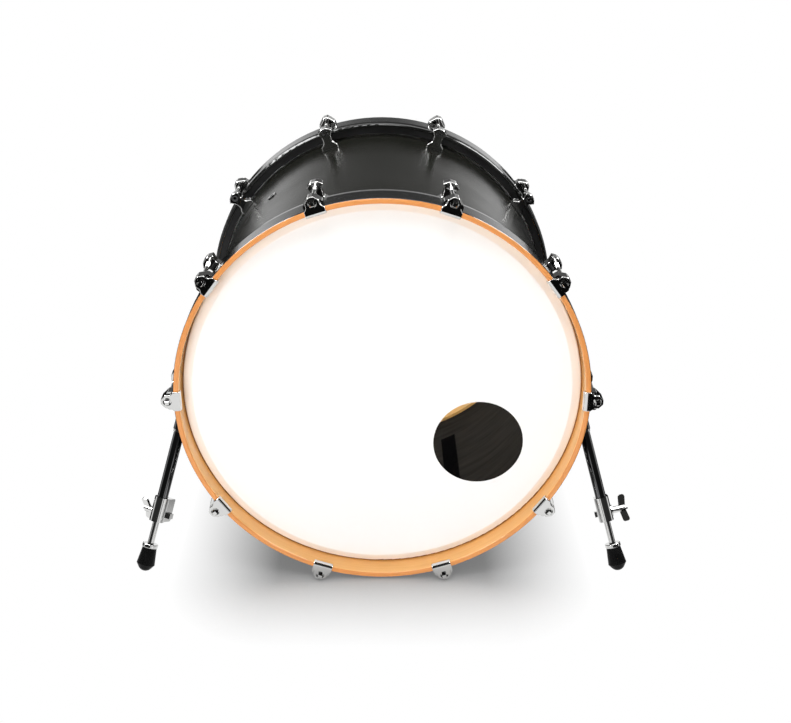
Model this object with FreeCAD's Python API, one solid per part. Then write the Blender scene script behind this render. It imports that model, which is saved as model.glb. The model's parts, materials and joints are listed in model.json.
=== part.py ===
import FreeCAD, Part
import math
import os

# A bass drum that lies on its side. All sizes are in millimetres.
# The drum axis runs along Y, the front head faces -Y, +Z is up and the floor is at Z = 0.
# Pieces are built round the drum axis first, and then lifted so that the lowest claws touch the floor.

# Shell
shell_outer_radius = 278.0
shell_wall = 7.5
shell_length = 457.2
bearing_inset = 5.0
bearing_crest = 1.0
bearing_outer_drop = 6.0
glue_gap = 0.1
brace_wall = 5.0
brace_width = 50.0
brace_setback = 4.0

# Heads: a film with a bent collar, glued into the slot of a metal flesh hoop
film_thickness = 0.5
film_seat_gap = 0.1
film_bend_gap = 0.2
film_bend_radius = 4.0
collar_angle = 30.0
skirt_inset = 7.5
skirt_depth = 5.5
slot_clearance = 0.1
flesh_hoop_gap = 3.0
flesh_hoop_width = 11.2
flesh_hoop_height = 10.0
flesh_hoop_drop = 0.5
port_radius = 66.3
port_across = 141.1
port_below = 79.2

# Counterhoops: bent wood with a rabbet that presses on the flesh hoop
hoop_width = 50.0
hoop_land = 1.8
hoop_rabbet_clearance = 0.5
hoop_skirt_wall = 6.0
hoop_edge_round = 2.5
hoop_taper_length = 12.0
hoop_taper_drop = 0.8
hoop_taper_round = 30.0
hoop_back_round = 4.4
head_recess = 24.5

# Claws, tension rods and their washers
lug_count = 10
rod_standoff = 8.0
rod_radius = 3.0
rod_clearance = 0.5
rod_fit = 0.08
rod_key_size = 6.2
rod_key_length = 9.0
rod_key_chamfer = 0.6
rod_flange_radius = 5.4
rod_flange_thickness = 2.0
rod_end_margin = 3.0
rod_end_chamfer = 0.8
rod_washer_radius = 5.8
rod_washer_thickness = 1.0
rod_washer_clearance = 0.3
claw_plate = 4.0
claw_width = 29.5
claw_shoulder_height = 10.5
claw_neck_height = 15.5
claw_tongue_width = 20.4
claw_tip_reach = 9.0
claw_tip_flat = 7.6
claw_tip_slant = 45.0
claw_tip_round = 3.0
claw_boss_length = 18.0
claw_boss_width = 28.0
claw_back_round = 2.5
claw_lip_thickness = 2.5
claw_lip_depth = 4.0
claw_hook_round = 5.5
claw_hoop_clearance = 0.3
claw_edge_round = 1.0
claw_shoulder_round = 2.0
claw_flare_round = 4.0
claw_recess_radius = 6.3
claw_recess_depth = 7.0

# Lugs, with a swivel nut inside and one screw from inside the shell
lug_brace_gap = 2.4
lug_length = 18.0
lug_cap_width = 24.0
lug_cap_rise = 7.3
lug_cap_flat = 10.0
lug_cap_edge_rise = 1.8
lug_crown_round = 6.0
lug_cap_round = 1.5
lug_waist_width = 15.0
lug_waist_top_drop = 6.7
lug_waist_bottom_drop = 16.5
lug_waist_round = 5.0
lug_foot_width = 27.0
lug_foot_thickness = 5.0
lug_foot_round = 1.5
lug_edge_round = 1.2
lug_end_wall = 4.0
gasket_thickness = 1.0
seat_gap = 0.05
nut_radius = 5.4
nut_length = 13.0
nut_clearance = 0.15
screw_radius = 2.4
screw_clearance = 0.1
screw_hole_clearance = 0.4
screw_grip = 12.0
screw_hole_spare = 1.0
screw_flange_radius = 6.0
screw_flange_thickness = 1.2
screw_head_radius = 4.4
screw_head_height = 3.0
screw_slot_width = 1.2
screw_slot_depth = 1.5

# Air vent: one riveted eyelet through the shell
vent_angle = -39.0
vent_from_front = 300.0
vent_flange_radius = 8.0
vent_flange_thickness = 1.6
vent_barrel_radius = 5.0
vent_bore_radius = 3.6
vent_hole_clearance = 0.2
vent_inner_radius = 7.0
vent_inner_thickness = 1.2

# Hook strip on the shell floor, which holds a damping pillow
strip_angle = 154.0
strip_width = 26.5
strip_thickness = 3.0
strip_front_gap = 57.9
strip_rear_gap = 71.3

# Spurs: a folding leg on each side of the shell
spur_pivot_angle = 102.17
spur_pivot_standoff = 30.9
spur_brace_gap = 4.16
spur_splay_run = 65.9
spur_rake_run = 90.85
bracket_width = 50.0
bracket_length = 62.0
bracket_plate = 6.0
bracket_corner = 10.0
bracket_post_radius = 16.0
bracket_screw_inset = 8.0
bracket_screw_grip = 4.5
pivot_bolt_radius = 4.0
pivot_bolt_fit = 0.08
pivot_bolt_grip = 20.0
pivot_head_sides = 6
pivot_head_radius = 7.5
pivot_head_height = 4.0
pivot_washer_radius = 9.0
pivot_washer_thickness = 1.2
pivot_gap = 0.3
knuckle_radius = 16.0
knuckle_thickness = 18.0
knuckle_edge_round = 1.5
sleeve_radius = 10.2
sleeve_end = 35.0
socket_start = 13.0
ring_radius = 9.1
ring_length = 3.5
tube_radius = 8.2
tube_fit = 0.05
spur_rod_radius = 5.0
spur_rod_clearance = 0.35
spur_rod_overlap = 46.0
spur_rod_exposed = 36.0
clamp_radius = 11.3
clamp_length = 38.0
clamp_floor = 4.0
clamp_slot = 3.0
ear_inset = 0.6
ear_reach = 21.0
ear_margin = 1.0
ear_round = 2.5
ear_bolt_inset = 6.5
ear_bolt_drop = 8.5
clamp_bolt_radius = 3.0
clamp_bolt_fit = 0.08
clamp_bolt_head = 8.5
clamp_bolt_head_height = 4.5
clamp_bolt_tail = 26.0
wing_gap = 0.3
wing_flange_radius = 9.0
wing_flange_thickness = 2.5
wing_hub_radius = 5.2
wing_hub_length = 22.0
wing_span = 42.0
wing_thickness = 4.0
wing_root_start = 12.0
wing_root_end = 22.0
wing_tip_start = 15.0
wing_tip_end = 26.0
wing_tip_round = 3.5
foot_flange_radius = 12.0
foot_flange_thickness = 6.0
foot_flange_round = 1.0
foot_flange_fit = 0.03
foot_length = 37.4
foot_top_radius = 10.8
foot_wide_radius = 14.0
foot_tip_radius = 12.0
foot_tip_angle = 55.0
foot_gap = 0.05
foot_bore_fit = 0.06
foot_bore_depth = 26.0
foot_bore_spare = 1.0
clamp_turn_right = 0.0
clamp_turn_left = 30.0
wing_turn_right = 0.0
wing_turn_left = 40.0

# Shared working values
cut_overrun = 2.0
same_place = 0.000001
full_turn = 360.0

# Radii and places that follow from the sizes above
shell_inner_radius = shell_outer_radius - shell_wall
crest_radius = shell_outer_radius - bearing_inset
flesh_inner_radius = shell_outer_radius + flesh_hoop_gap
flesh_outer_radius = flesh_inner_radius + flesh_hoop_width
rabbet_radius = flesh_outer_radius + hoop_rabbet_clearance
hoop_outer_radius = rabbet_radius + hoop_skirt_wall
hoop_inner_radius = flesh_outer_radius - hoop_land
rod_circle = hoop_outer_radius + rod_standoff
film_plane = -(shell_length / 2 + film_seat_gap + film_thickness)
front_plane = film_plane - head_recess
lug_step = full_turn / lug_count
lug_angles = [lug_step * (place + 1 / 2) for place in range(lug_count)]

# The lowest claws lean half a step from the bottom, and rest on the round corner beside their flat tip
lean = math.radians(lug_step / 2)
tip_corner_half = math.radians(claw_tip_slant / 2)
tip_corner_across = claw_tip_flat / 2 - claw_tip_round * math.tan(tip_corner_half)
tip_corner_out = rod_circle + claw_tip_reach - claw_tip_round
axis_height = tip_corner_out * math.cos(lean) + tip_corner_across * math.sin(lean) + claw_tip_round

# The film's collar: a bend over the bearing edge, a cone, and a second bend into a straight skirt
bend_start = crest_radius + bearing_crest / 2 + film_bend_gap
skirt_radius = flesh_inner_radius + skirt_inset
collar_slope = math.radians(collar_angle)
collar_length = (skirt_radius - bend_start - film_bend_radius) / math.cos(collar_slope)
skirt_start = film_plane + film_bend_radius + collar_length * math.sin(collar_slope)
flesh_plane = skirt_start + flesh_hoop_drop
skirt_end = flesh_plane + skirt_depth

# Places along the rods and the lugs
claw_face = front_plane - claw_plate
washer_seat = claw_face + claw_recess_depth
brace_start = brace_setback - shell_length / 2
brace_end = brace_start + brace_width
lug_middle = brace_end + lug_brace_gap + screw_flange_radius
lug_start = lug_middle - lug_length / 2
lug_end = lug_start + lug_length
lug_seat_radius = shell_outer_radius + gasket_thickness

origin = FreeCAD.Vector(0, 0, 0)
x_axis = FreeCAD.Vector(1, 0, 0)
y_axis = FreeCAD.Vector(0, 1, 0)
z_axis = FreeCAD.Vector(0, 0, 1)


def vector(x, y, z):
    return FreeCAD.Vector(x, y, z)


def rounded_wire(points, radii):
    """A closed wire through the points, with each corner rounded to its radius."""
    arrivals = []
    departures = []
    arcs = []
    count = len(points)
    for place, corner in enumerate(points):
        back = (points[place - 1] - corner).normalize()
        ahead = (points[(place + 1) % count] - corner).normalize()
        radius = radii[place]
        half_angle = back.getAngle(ahead) / 2
        reach = radius / math.tan(half_angle)
        arrivals.append(corner + back * reach)
        departures.append(corner + ahead * reach)
        inward = (back + ahead).normalize()
        middle = corner + inward * (radius / math.sin(half_angle) - radius)
        arcs.append(middle)
    edges = []
    for place in range(count):
        if radii[place] > 0:
            edges.append(Part.Arc(arrivals[place], arcs[place], departures[place]).toShape())
        following = arrivals[(place + 1) % count]
        if departures[place].distanceToPoint(following) > same_place:
            edges.append(Part.LineSegment(departures[place], following).toShape())
    return Part.Wire(edges)


def spin(points, radii, axis=y_axis):
    """A solid turned about an axis through the origin from a rounded outline."""
    return Part.Face(rounded_wire(points, radii)).revolve(origin, axis, full_turn)


def ring(outer_radius, inner_radius, start, end):
    """A plain ring round the drum axis, from one place along Y to another."""
    points = [
        vector(inner_radius, start, 0),
        vector(outer_radius, start, 0),
        vector(outer_radius, end, 0),
        vector(inner_radius, end, 0),
    ]
    return spin(points, [0, 0, 0, 0])


def rod_along(radius, start, end):
    """A round bar between two points."""
    return Part.makeCylinder(radius, (end - start).Length, start, end - start)


def plate_up(width, length, bottom, top, corner, middle_y):
    """An upright block with rounded corners, wide in X and long in Y."""
    points = [
        vector(-width / 2, middle_y - length / 2, bottom),
        vector(width / 2, middle_y - length / 2, bottom),
        vector(width / 2, middle_y + length / 2, bottom),
        vector(-width / 2, middle_y + length / 2, bottom),
    ]
    return Part.Face(rounded_wire(points, [corner] * len(points))).extrude(vector(0, 0, top - bottom))


def edges_across(shape, place):
    """The edges of a shape that lie in the plane at one place along Y."""
    chosen = []
    for edge in shape.Edges:
        if all(abs(vertex.Y - place) < same_place for vertex in edge.Vertexes):
            chosen.append(edge)
    return chosen


def upper_edges_across(shape, place, floor):
    """Those edges of a shape in the plane at one place along Y that rise above a flat floor."""
    chosen = []
    for edge in edges_across(shape, place):
        if max(vertex.Z for vertex in edge.Vertexes) > floor + same_place:
            chosen.append(edge)
    return chosen


def around(shape, angles):
    """Copies of a shape built at the top of the drum, one at each angle from the top."""
    return [shape.rotated(origin, y_axis, angle) for angle in angles]


def turned(shape):
    """The same shape at the other end of the drum."""
    return shape.rotated(origin, z_axis, full_turn / 2)


def save(name, *solids):
    """Lift the pieces to their height above the floor and write them as one node."""
    shape = solids[0] if len(solids) == 1 else Part.makeCompound(list(solids))
    shape.translated(vector(0, 0, axis_height)).exportStep("parts/" + name + ".step")
    for solid in shape.Solids:
        if not solid.isValid():
            print("not valid:", name)


def radial_bar(radius, inner, outer, angle, place):
    """A round bar along a radius of the drum."""
    bar = rod_along(radius, vector(0, place, inner), vector(0, place, outer))
    return bar.rotated(origin, y_axis, angle)


def shell():
    """The wooden cylinder with bearing edges and its holes."""
    half = shell_length / 2
    inner_drop = crest_radius - bearing_crest / 2 - shell_inner_radius
    points = [
        vector(crest_radius - bearing_crest / 2, -half, 0),
        vector(crest_radius + bearing_crest / 2, -half, 0),
        vector(shell_outer_radius, -half + bearing_outer_drop, 0),
        vector(shell_outer_radius, half - bearing_outer_drop, 0),
        vector(crest_radius + bearing_crest / 2, half, 0),
        vector(crest_radius - bearing_crest / 2, half, 0),
        vector(shell_inner_radius, half - inner_drop, 0),
        vector(shell_inner_radius, -half + inner_drop, 0),
    ]
    body = spin(points, [0] * len(points))
    inside = shell_inner_radius - cut_overrun
    outside = shell_outer_radius + cut_overrun
    hole_radius = screw_radius + screw_hole_clearance
    holes = []
    for angle in lug_angles:
        holes.append(radial_bar(hole_radius, inside, outside, angle, lug_middle))
        holes.append(radial_bar(hole_radius, inside, outside, angle, -lug_middle))
    for angle, place in bracket_screw_places():
        holes.append(radial_bar(hole_radius, inside, outside, angle, place))
        holes.append(radial_bar(hole_radius, inside, outside, -angle, place))
    vent_radius = vent_barrel_radius + vent_hole_clearance
    holes.append(radial_bar(vent_radius, inside, outside, vent_angle, front_plane + vent_from_front))
    return body.cut(holes)


def brace():
    """The front one of the two rings that stiffen the shell inside its bearing edges."""
    outer = shell_inner_radius - glue_gap
    return ring(outer, outer - brace_wall, brace_start, brace_end)


def head_film():
    """The front film: flat, bent over the bearing edge and down into the flesh hoop."""
    def face_edges(offset):
        bend = film_bend_radius - offset
        turn = vector(bend_start, film_plane + film_bend_radius, 0)
        cone_shift = vector(math.cos(collar_slope), math.sin(collar_slope), 0) * collar_length
        turn_two = turn + cone_shift

        def on_bend(middle, angle):
            return middle + vector(math.sin(angle), -math.cos(angle), 0) * bend

        half_slope = collar_slope / 2
        last_slope = (collar_slope + math.pi / 2) / 2
        flat_start = vector(0, film_plane + offset, 0)
        skirt_foot = vector(turn_two.x + bend, skirt_end, 0)
        first_bend = Part.Arc(on_bend(turn, 0), on_bend(turn, half_slope), on_bend(turn, collar_slope))
        second_bend = Part.Arc(
            on_bend(turn_two, collar_slope), on_bend(turn_two, last_slope), on_bend(turn_two, math.pi / 2)
        )
        edges = [
            Part.LineSegment(flat_start, on_bend(turn, 0)).toShape(),
            first_bend.toShape(),
            Part.LineSegment(on_bend(turn, collar_slope), on_bend(turn_two, collar_slope)).toShape(),
            second_bend.toShape(),
            Part.LineSegment(on_bend(turn_two, math.pi / 2), skirt_foot).toShape(),
        ]
        return edges, flat_start, skirt_foot

    outer, outer_middle, outer_foot = face_edges(0)
    inner, inner_middle, inner_foot = face_edges(film_thickness)
    closing = [
        Part.LineSegment(outer_foot, inner_foot).toShape(),
        Part.LineSegment(inner_middle, outer_middle).toShape(),
    ]
    wire = Part.Wire(Part.__sortEdges__(outer + inner + closing))
    return Part.Face(wire).revolve(origin, y_axis, full_turn)


def ported(film):
    """The film with its port cut out."""
    start = vector(port_across, film_plane - cut_overrun, -port_below)
    end = vector(port_across, film_plane + film_thickness + cut_overrun, -port_below)
    return film.cut(rod_along(port_radius, start, end))


def flesh_hoop():
    """The metal hoop that holds the film's skirt in a slot."""
    slot_outer = skirt_radius + slot_clearance
    slot_inner = skirt_radius - film_thickness - slot_clearance
    slot_end = skirt_end + slot_clearance
    body = ring(flesh_outer_radius, flesh_inner_radius, flesh_plane, flesh_plane + flesh_hoop_height)
    return body.cut(ring(slot_outer, slot_inner, flesh_plane - cut_overrun, slot_end))


def counterhoop():
    """The wooden hoop, eased towards the shell, with a rabbet that presses on the flesh hoop."""
    back = front_plane + hoop_width
    points = [
        vector(hoop_inner_radius, front_plane, 0),
        vector(hoop_outer_radius, front_plane, 0),
        vector(hoop_outer_radius, back - hoop_taper_length, 0),
        vector(hoop_outer_radius - hoop_taper_drop, back, 0),
        vector(rabbet_radius, back, 0),
        vector(rabbet_radius, flesh_plane, 0),
        vector(hoop_inner_radius, flesh_plane, 0),
    ]
    return spin(points, [hoop_edge_round, hoop_edge_round, hoop_taper_round, hoop_back_round, 0, 0, 0])


def claw_tip(place, side):
    """The flat tip and slanted corners of a claw's face or its sleeve, from left to right."""
    top = rod_circle + claw_tip_reach
    slant = (side - claw_tip_flat / 2) * math.tan(math.radians(claw_tip_slant))
    return [
        vector(-side, place, top - slant),
        vector(-claw_tip_flat / 2, place, top),
        vector(claw_tip_flat / 2, place, top),
        vector(side, place, top - slant),
    ]


def claw():
    """A hook over the hoop, with a sleeve for the tension rod and a recess for its head."""
    half = claw_width / 2
    side = claw_tongue_width / 2
    lip_top = math.sqrt(hoop_inner_radius ** 2 - half ** 2) - claw_hoop_clearance
    lip_bottom = lip_top - claw_lip_thickness
    lip_end = front_plane + claw_lip_depth
    top = rod_circle + claw_tip_reach
    shoulder = lip_bottom + claw_shoulder_height
    neck = lip_bottom + claw_neck_height
    tip = claw_tip(claw_face, side)
    tip_rounds = [claw_tip_round] * len(tip)

    left = [vector(-half, claw_face, lip_bottom), vector(-half, claw_face, shoulder)]
    left.append(vector(-side, claw_face, neck))
    right = [vector(-point.x, point.y, point.z) for point in reversed(left)]
    left_rounds = [0, claw_shoulder_round, claw_flare_round]
    face_rounds = left_rounds + tip_rounds + left_rounds[::-1]
    face_wire = rounded_wire(left + tip + right, face_rounds)
    face = Part.Face(face_wire).extrude(y_axis * (lip_end - claw_face))
    hook_points = [
        vector(-half, claw_face, lip_bottom),
        vector(-half, claw_face, top),
        vector(-half, front_plane, top),
        vector(-half, front_plane, lip_top),
        vector(-half, lip_end, lip_top),
        vector(-half, lip_end, lip_bottom),
    ]
    hook_wire = rounded_wire(hook_points, [claw_hook_round, 0, 0, 0, 0, 0])
    hook = Part.Face(hook_wire).extrude(x_axis * claw_width)

    sleeve_bottom = hoop_outer_radius + claw_hoop_clearance
    boss_half = claw_boss_width / 2
    sleeve_points = [vector(-boss_half, front_plane, sleeve_bottom)]
    sleeve_points += claw_tip(front_plane, boss_half)
    sleeve_points.append(vector(boss_half, front_plane, sleeve_bottom))
    sleeve_wire = rounded_wire(sleeve_points, [0] + tip_rounds + [0])
    sleeve = Part.Face(sleeve_wire).extrude(y_axis * claw_boss_length)
    sleeve_end_place = front_plane + claw_boss_length
    sleeve = sleeve.makeFillet(claw_back_round, upper_edges_across(sleeve, sleeve_end_place, sleeve_bottom))

    front = face.common(hook)
    front = front.makeFillet(claw_edge_round, edges_across(front, claw_face))
    rod_hole = rod_along(
        rod_radius + rod_clearance,
        vector(0, claw_face - cut_overrun, rod_circle),
        vector(0, sleeve_end_place + cut_overrun, rod_circle),
    )
    recess = rod_along(
        claw_recess_radius,
        vector(0, claw_face - cut_overrun, rod_circle),
        vector(0, washer_seat, rod_circle),
    )
    return front.fuse(sleeve).cut([rod_hole, recess])


def rod_washer():
    """The flat washer under a tension rod's head."""
    start = vector(0, washer_seat - rod_washer_thickness, rod_circle)
    end = vector(0, washer_seat, rod_circle)
    overrun = y_axis * cut_overrun
    bore = rod_along(rod_radius + rod_washer_clearance, start - overrun, end + overrun)
    return rod_along(rod_washer_radius, start, end).cut(bore)


def tension_rod():
    """A square key head, a round flange and a shank that ends in the swivel nut."""
    flange_end = washer_seat - rod_washer_thickness - seat_gap
    flange_start = flange_end - rod_flange_thickness
    head_start = flange_start - rod_key_length
    shank_end = lug_end - rod_end_margin
    half = rod_key_size / 2
    head = Part.makeBox(
        rod_key_size, rod_key_length, rod_key_size, vector(-half, head_start, rod_circle - half)
    )
    head = head.makeChamfer(rod_key_chamfer, edges_across(head, head_start))
    flange = rod_along(
        rod_flange_radius, vector(0, flange_start, rod_circle), vector(0, flange_end, rod_circle)
    )
    shank = rod_along(rod_radius, vector(0, flange_end, rod_circle), vector(0, shank_end, rod_circle))
    shank = shank.makeChamfer(rod_end_chamfer, edges_across(shank, shank_end))
    return head.fuse([flange, shank])


def lug():
    """A spool-shaped block: a domed cap, a narrow waist and a foot that fits the shell's curve."""
    foot_bottom = shell_outer_radius - cut_overrun
    foot_half = lug_foot_width / 2
    waist_half = lug_waist_width / 2
    left = [
        vector(-foot_half, lug_start, foot_bottom),
        vector(-foot_half, lug_start, lug_seat_radius + lug_foot_thickness),
        vector(-waist_half, lug_start, rod_circle - lug_waist_bottom_drop),
        vector(-waist_half, lug_start, rod_circle - lug_waist_top_drop),
        vector(-lug_cap_width / 2, lug_start, rod_circle + lug_cap_edge_rise),
        vector(-lug_cap_flat / 2, lug_start, rod_circle + lug_cap_rise),
    ]
    rounds = [0, lug_foot_round, lug_waist_round, lug_waist_round, lug_cap_round, lug_crown_round]
    right = [vector(-point.x, point.y, point.z) for point in reversed(left)]
    spool = Part.Face(rounded_wire(left + right, rounds + rounds[::-1])).extrude(y_axis * lug_length)
    end_edges = upper_edges_across(spool, lug_start, foot_bottom)
    end_edges += upper_edges_across(spool, lug_end, foot_bottom)
    spool = spool.makeFillet(lug_edge_round, end_edges)
    seat = ring(lug_seat_radius + seat_gap, 0, lug_start - cut_overrun, lug_end + cut_overrun)
    nut_room = rod_along(
        nut_radius + nut_clearance,
        vector(0, lug_start + lug_end_wall, rod_circle),
        vector(0, lug_end + cut_overrun, rod_circle),
    )
    rod_hole = rod_along(
        rod_radius + rod_clearance,
        vector(0, lug_start - cut_overrun, rod_circle),
        vector(0, lug_end, rod_circle),
    )
    screw_hole = rod_along(
        screw_radius + screw_clearance,
        vector(0, lug_middle, foot_bottom),
        vector(0, lug_middle, lug_seat_radius + screw_grip + screw_hole_spare),
    )
    return spool.cut([seat, nut_room, rod_hole, screw_hole])


def lug_gasket():
    """The thin gasket between a lug's foot and the shell."""
    foot_top = lug_seat_radius + cut_overrun
    block = plate_up(
        lug_foot_width, lug_length, shell_outer_radius - cut_overrun, foot_top, lug_foot_round, lug_middle
    )
    layer = ring(lug_seat_radius, shell_outer_radius + seat_gap, lug_start, lug_end)
    hole = rod_along(
        screw_radius + screw_hole_clearance,
        vector(0, lug_middle, shell_inner_radius),
        vector(0, lug_middle, foot_top),
    )
    return block.common(layer).cut(hole)


def swivel_nut():
    """The threaded barrel inside a lug, against the lug's end wall."""
    start = vector(0, lug_start + lug_end_wall, rod_circle)
    end = start + y_axis * nut_length
    bore = rod_along(rod_radius + rod_fit, start - y_axis * cut_overrun, end + y_axis * cut_overrun)
    return rod_along(nut_radius, start, end).cut(bore)


def inside_screw(angle, place, grip):
    """A flanged screw from inside the shell, which reaches outward past the shell by its grip."""
    flat = math.sqrt(shell_inner_radius ** 2 - screw_flange_radius ** 2) - seat_gap
    flange_inner = flat - screw_flange_thickness
    head_inner = flange_inner - screw_head_height
    tip = shell_outer_radius + grip
    shank = rod_along(screw_radius, vector(0, place, flange_inner), vector(0, place, tip))
    flange = rod_along(screw_flange_radius, vector(0, place, flange_inner), vector(0, place, flat))
    head = rod_along(screw_head_radius, vector(0, place, head_inner), vector(0, place, flange_inner))
    slot = Part.makeBox(
        screw_slot_width, screw_head_radius * 2, screw_slot_depth,
        vector(-screw_slot_width / 2, place - screw_head_radius, head_inner),
    )
    return shank.fuse([flange, head.cut(slot)]).rotated(origin, y_axis, angle)


def vent_grommet():
    """The eyelet of the air vent, with a flange on each face of the shell."""
    place = front_plane + vent_from_front
    outer_seat = shell_outer_radius + seat_gap
    inner_seat = math.sqrt(shell_inner_radius ** 2 - vent_inner_radius ** 2) - seat_gap
    outer_end = outer_seat + vent_flange_thickness
    inner_end = inner_seat - vent_inner_thickness
    barrel = rod_along(vent_barrel_radius, vector(0, place, inner_end), vector(0, place, outer_end))
    flange = rod_along(vent_flange_radius, vector(0, place, outer_seat), vector(0, place, outer_end))
    inner = rod_along(vent_inner_radius, vector(0, place, inner_end), vector(0, place, inner_seat))
    bore = rod_along(
        vent_bore_radius,
        vector(0, place, inner_end - cut_overrun),
        vector(0, place, outer_end + cut_overrun),
    )
    return barrel.fuse([flange, inner]).cut(bore).rotated(origin, y_axis, vent_angle)


def hook_strip():
    """The strip glued along the floor of the shell, between the two rings."""
    outer = shell_inner_radius - glue_gap
    start = brace_end + strip_front_gap
    end = -brace_end - strip_rear_gap
    layer = ring(outer, outer - strip_thickness, start, end)
    block = Part.makeBox(strip_width, end - start, outer, vector(-strip_width / 2, start, 0))
    return layer.common(block).rotated(origin, y_axis, strip_angle)


# The right spur's own frame: X along the fold pivot, Z up the leg, and the leg runs down from the pivot
pivot_radius = shell_outer_radius + spur_pivot_standoff
bracket_screw_across = bracket_width - 2 * bracket_screw_inset
bracket_screw_along = bracket_length - 2 * bracket_screw_inset
pivot = vector(
    pivot_radius * math.sin(math.radians(spur_pivot_angle)),
    brace_end + spur_brace_gap + screw_flange_radius + bracket_screw_along / 2,
    pivot_radius * math.cos(math.radians(spur_pivot_angle)),
)
pivot_height = axis_height + pivot.z
leg_up = vector(-spur_splay_run, spur_rake_run, pivot_height).normalize()
fold_axis = vector(leg_up.z, 0, -leg_up.x).normalize()
leg_back = leg_up.cross(fold_axis)
spur_frame = FreeCAD.Placement(pivot, FreeCAD.Rotation(fold_axis, leg_back, leg_up, "ZXY"))

# Distances down the leg from the pivot
foot_tip_middle = (pivot_height - foot_tip_radius) / leg_up.z
foot_end = foot_tip_middle + foot_tip_radius
foot_start = foot_end - foot_length
foot_flange_start = foot_start - foot_gap - foot_flange_thickness
clamp_end = foot_flange_start - spur_rod_exposed
clamp_start = clamp_end - clamp_length
tube_end = clamp_end - clamp_floor
spur_rod_start = clamp_start - spur_rod_overlap
spur_rod_end = foot_start + foot_bore_depth
ear_middle = (clamp_start + clamp_end) / 2 + ear_bolt_drop
ear_bolt_back = ear_reach - ear_bolt_inset
ear_outer_face = clamp_radius - ear_inset
knuckle_face = knuckle_thickness / 2


def bracket_reach():
    """The distance from the pivot back along the fold axis to the shell's surface."""
    along = pivot.x * fold_axis.x + pivot.z * fold_axis.z
    return along - math.sqrt(along ** 2 - pivot_radius ** 2 + shell_outer_radius ** 2)


def bracket_angle():
    """The angle from the top at which the fold axis meets the shell."""
    foot = pivot - fold_axis * bracket_reach()
    return math.degrees(math.atan2(foot.x, foot.z))


def bracket_screw_places():
    """The angle and the place along Y of each screw of the right bracket."""
    side = math.degrees(math.asin(bracket_screw_across / 2 / shell_outer_radius))
    places = []
    for across in (-side, side):
        for along in (-bracket_screw_along / 2, bracket_screw_along / 2):
            places.append((bracket_angle() + across, pivot.y + along))
    return places


def leg_bar(radius, start, end):
    """A round bar down the leg, between two distances from the pivot."""
    return rod_along(radius, vector(0, 0, -start), vector(0, 0, -end))


def spur_bracket():
    """A saddle plate on the shell with a slanted post that carries the pivot."""
    seat_radius = shell_outer_radius + seat_gap
    plate = plate_up(
        bracket_width, bracket_length, shell_outer_radius - cut_overrun,
        shell_outer_radius + bracket_plate, bracket_corner, pivot.y,
    ).rotated(origin, y_axis, bracket_angle())
    post_start = pivot - fold_axis * (knuckle_face + pivot_gap)
    post_end = pivot - fold_axis * (bracket_reach() + bracket_plate)
    post = rod_along(bracket_post_radius, post_start, post_end)
    body = plate.fuse(post)
    seat = ring(seat_radius, 0, pivot.y - bracket_length, pivot.y + bracket_length)
    bolt_hole = rod_along(
        pivot_bolt_radius + pivot_bolt_fit, pivot, post_start - fold_axis * (pivot_bolt_grip + cut_overrun)
    )
    holes = [seat, bolt_hole]
    for angle, place in bracket_screw_places():
        reach = shell_outer_radius + bracket_plate + cut_overrun
        holes.append(radial_bar(screw_radius + screw_clearance, shell_inner_radius, reach, angle, place))
    return body.cut(holes)


def pivot_bolt():
    """The bolt with its washer face, through the knuckle and into the bracket's post."""
    washer_start = pivot + fold_axis * (knuckle_face + pivot_gap)
    head_start = washer_start + fold_axis * pivot_washer_thickness
    head_end = head_start + fold_axis * pivot_head_height
    shank_end = pivot - fold_axis * (knuckle_face + pivot_gap + pivot_bolt_grip)
    washer = rod_along(pivot_washer_radius, washer_start, head_start)
    corners = []
    for place in range(pivot_head_sides + 1):
        angle = 2 * math.pi * place / pivot_head_sides
        flat = leg_back * math.cos(angle) + leg_up * math.sin(angle)
        corners.append(head_start + flat * pivot_head_radius)
    head = Part.Face(Part.makePolygon(corners)).extrude(head_end - head_start)
    shank = rod_along(pivot_bolt_radius, washer_start, shank_end)
    return shank.fuse([washer, head])


def knuckle():
    """The swinging eye with a sleeve that holds the tube, cut flat beside the post and the bolt's head."""
    eye = rod_along(knuckle_radius, x_axis * -knuckle_face, x_axis * knuckle_face)
    eye = eye.makeFillet(knuckle_edge_round, [edge for edge in eye.Edges if not edge.isSeam(eye.Faces[0])])
    sleeve = leg_bar(sleeve_radius, 0, sleeve_end)
    bolt_hole = rod_along(
        pivot_bolt_radius + pivot_bolt_fit,
        x_axis * -(knuckle_face + cut_overrun),
        x_axis * (knuckle_face + cut_overrun),
    )
    socket = leg_bar(tube_radius + tube_fit, socket_start, sleeve_end + cut_overrun)
    holes = [bolt_hole, socket]
    for side in (-1, 1):
        flat_start = x_axis * side * knuckle_face
        flat_end = flat_start + x_axis * side * sleeve_radius
        holes.append(rod_along(bracket_post_radius + pivot_gap, flat_start, flat_end))
    return eye.fuse(sleeve).cut(holes)


def spur_ring():
    """The bright ring on the tube under the sleeve."""
    ring_end = sleeve_end + ring_length
    bore = leg_bar(tube_radius + tube_fit, sleeve_end - cut_overrun, ring_end + cut_overrun)
    return leg_bar(ring_radius, sleeve_end, ring_end).cut(bore)


def spur_tube():
    """The upper tube of the leg."""
    bore = leg_bar(spur_rod_radius + spur_rod_clearance, socket_start - cut_overrun, tube_end + cut_overrun)
    return leg_bar(tube_radius, socket_start, tube_end).cut(bore)


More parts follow.
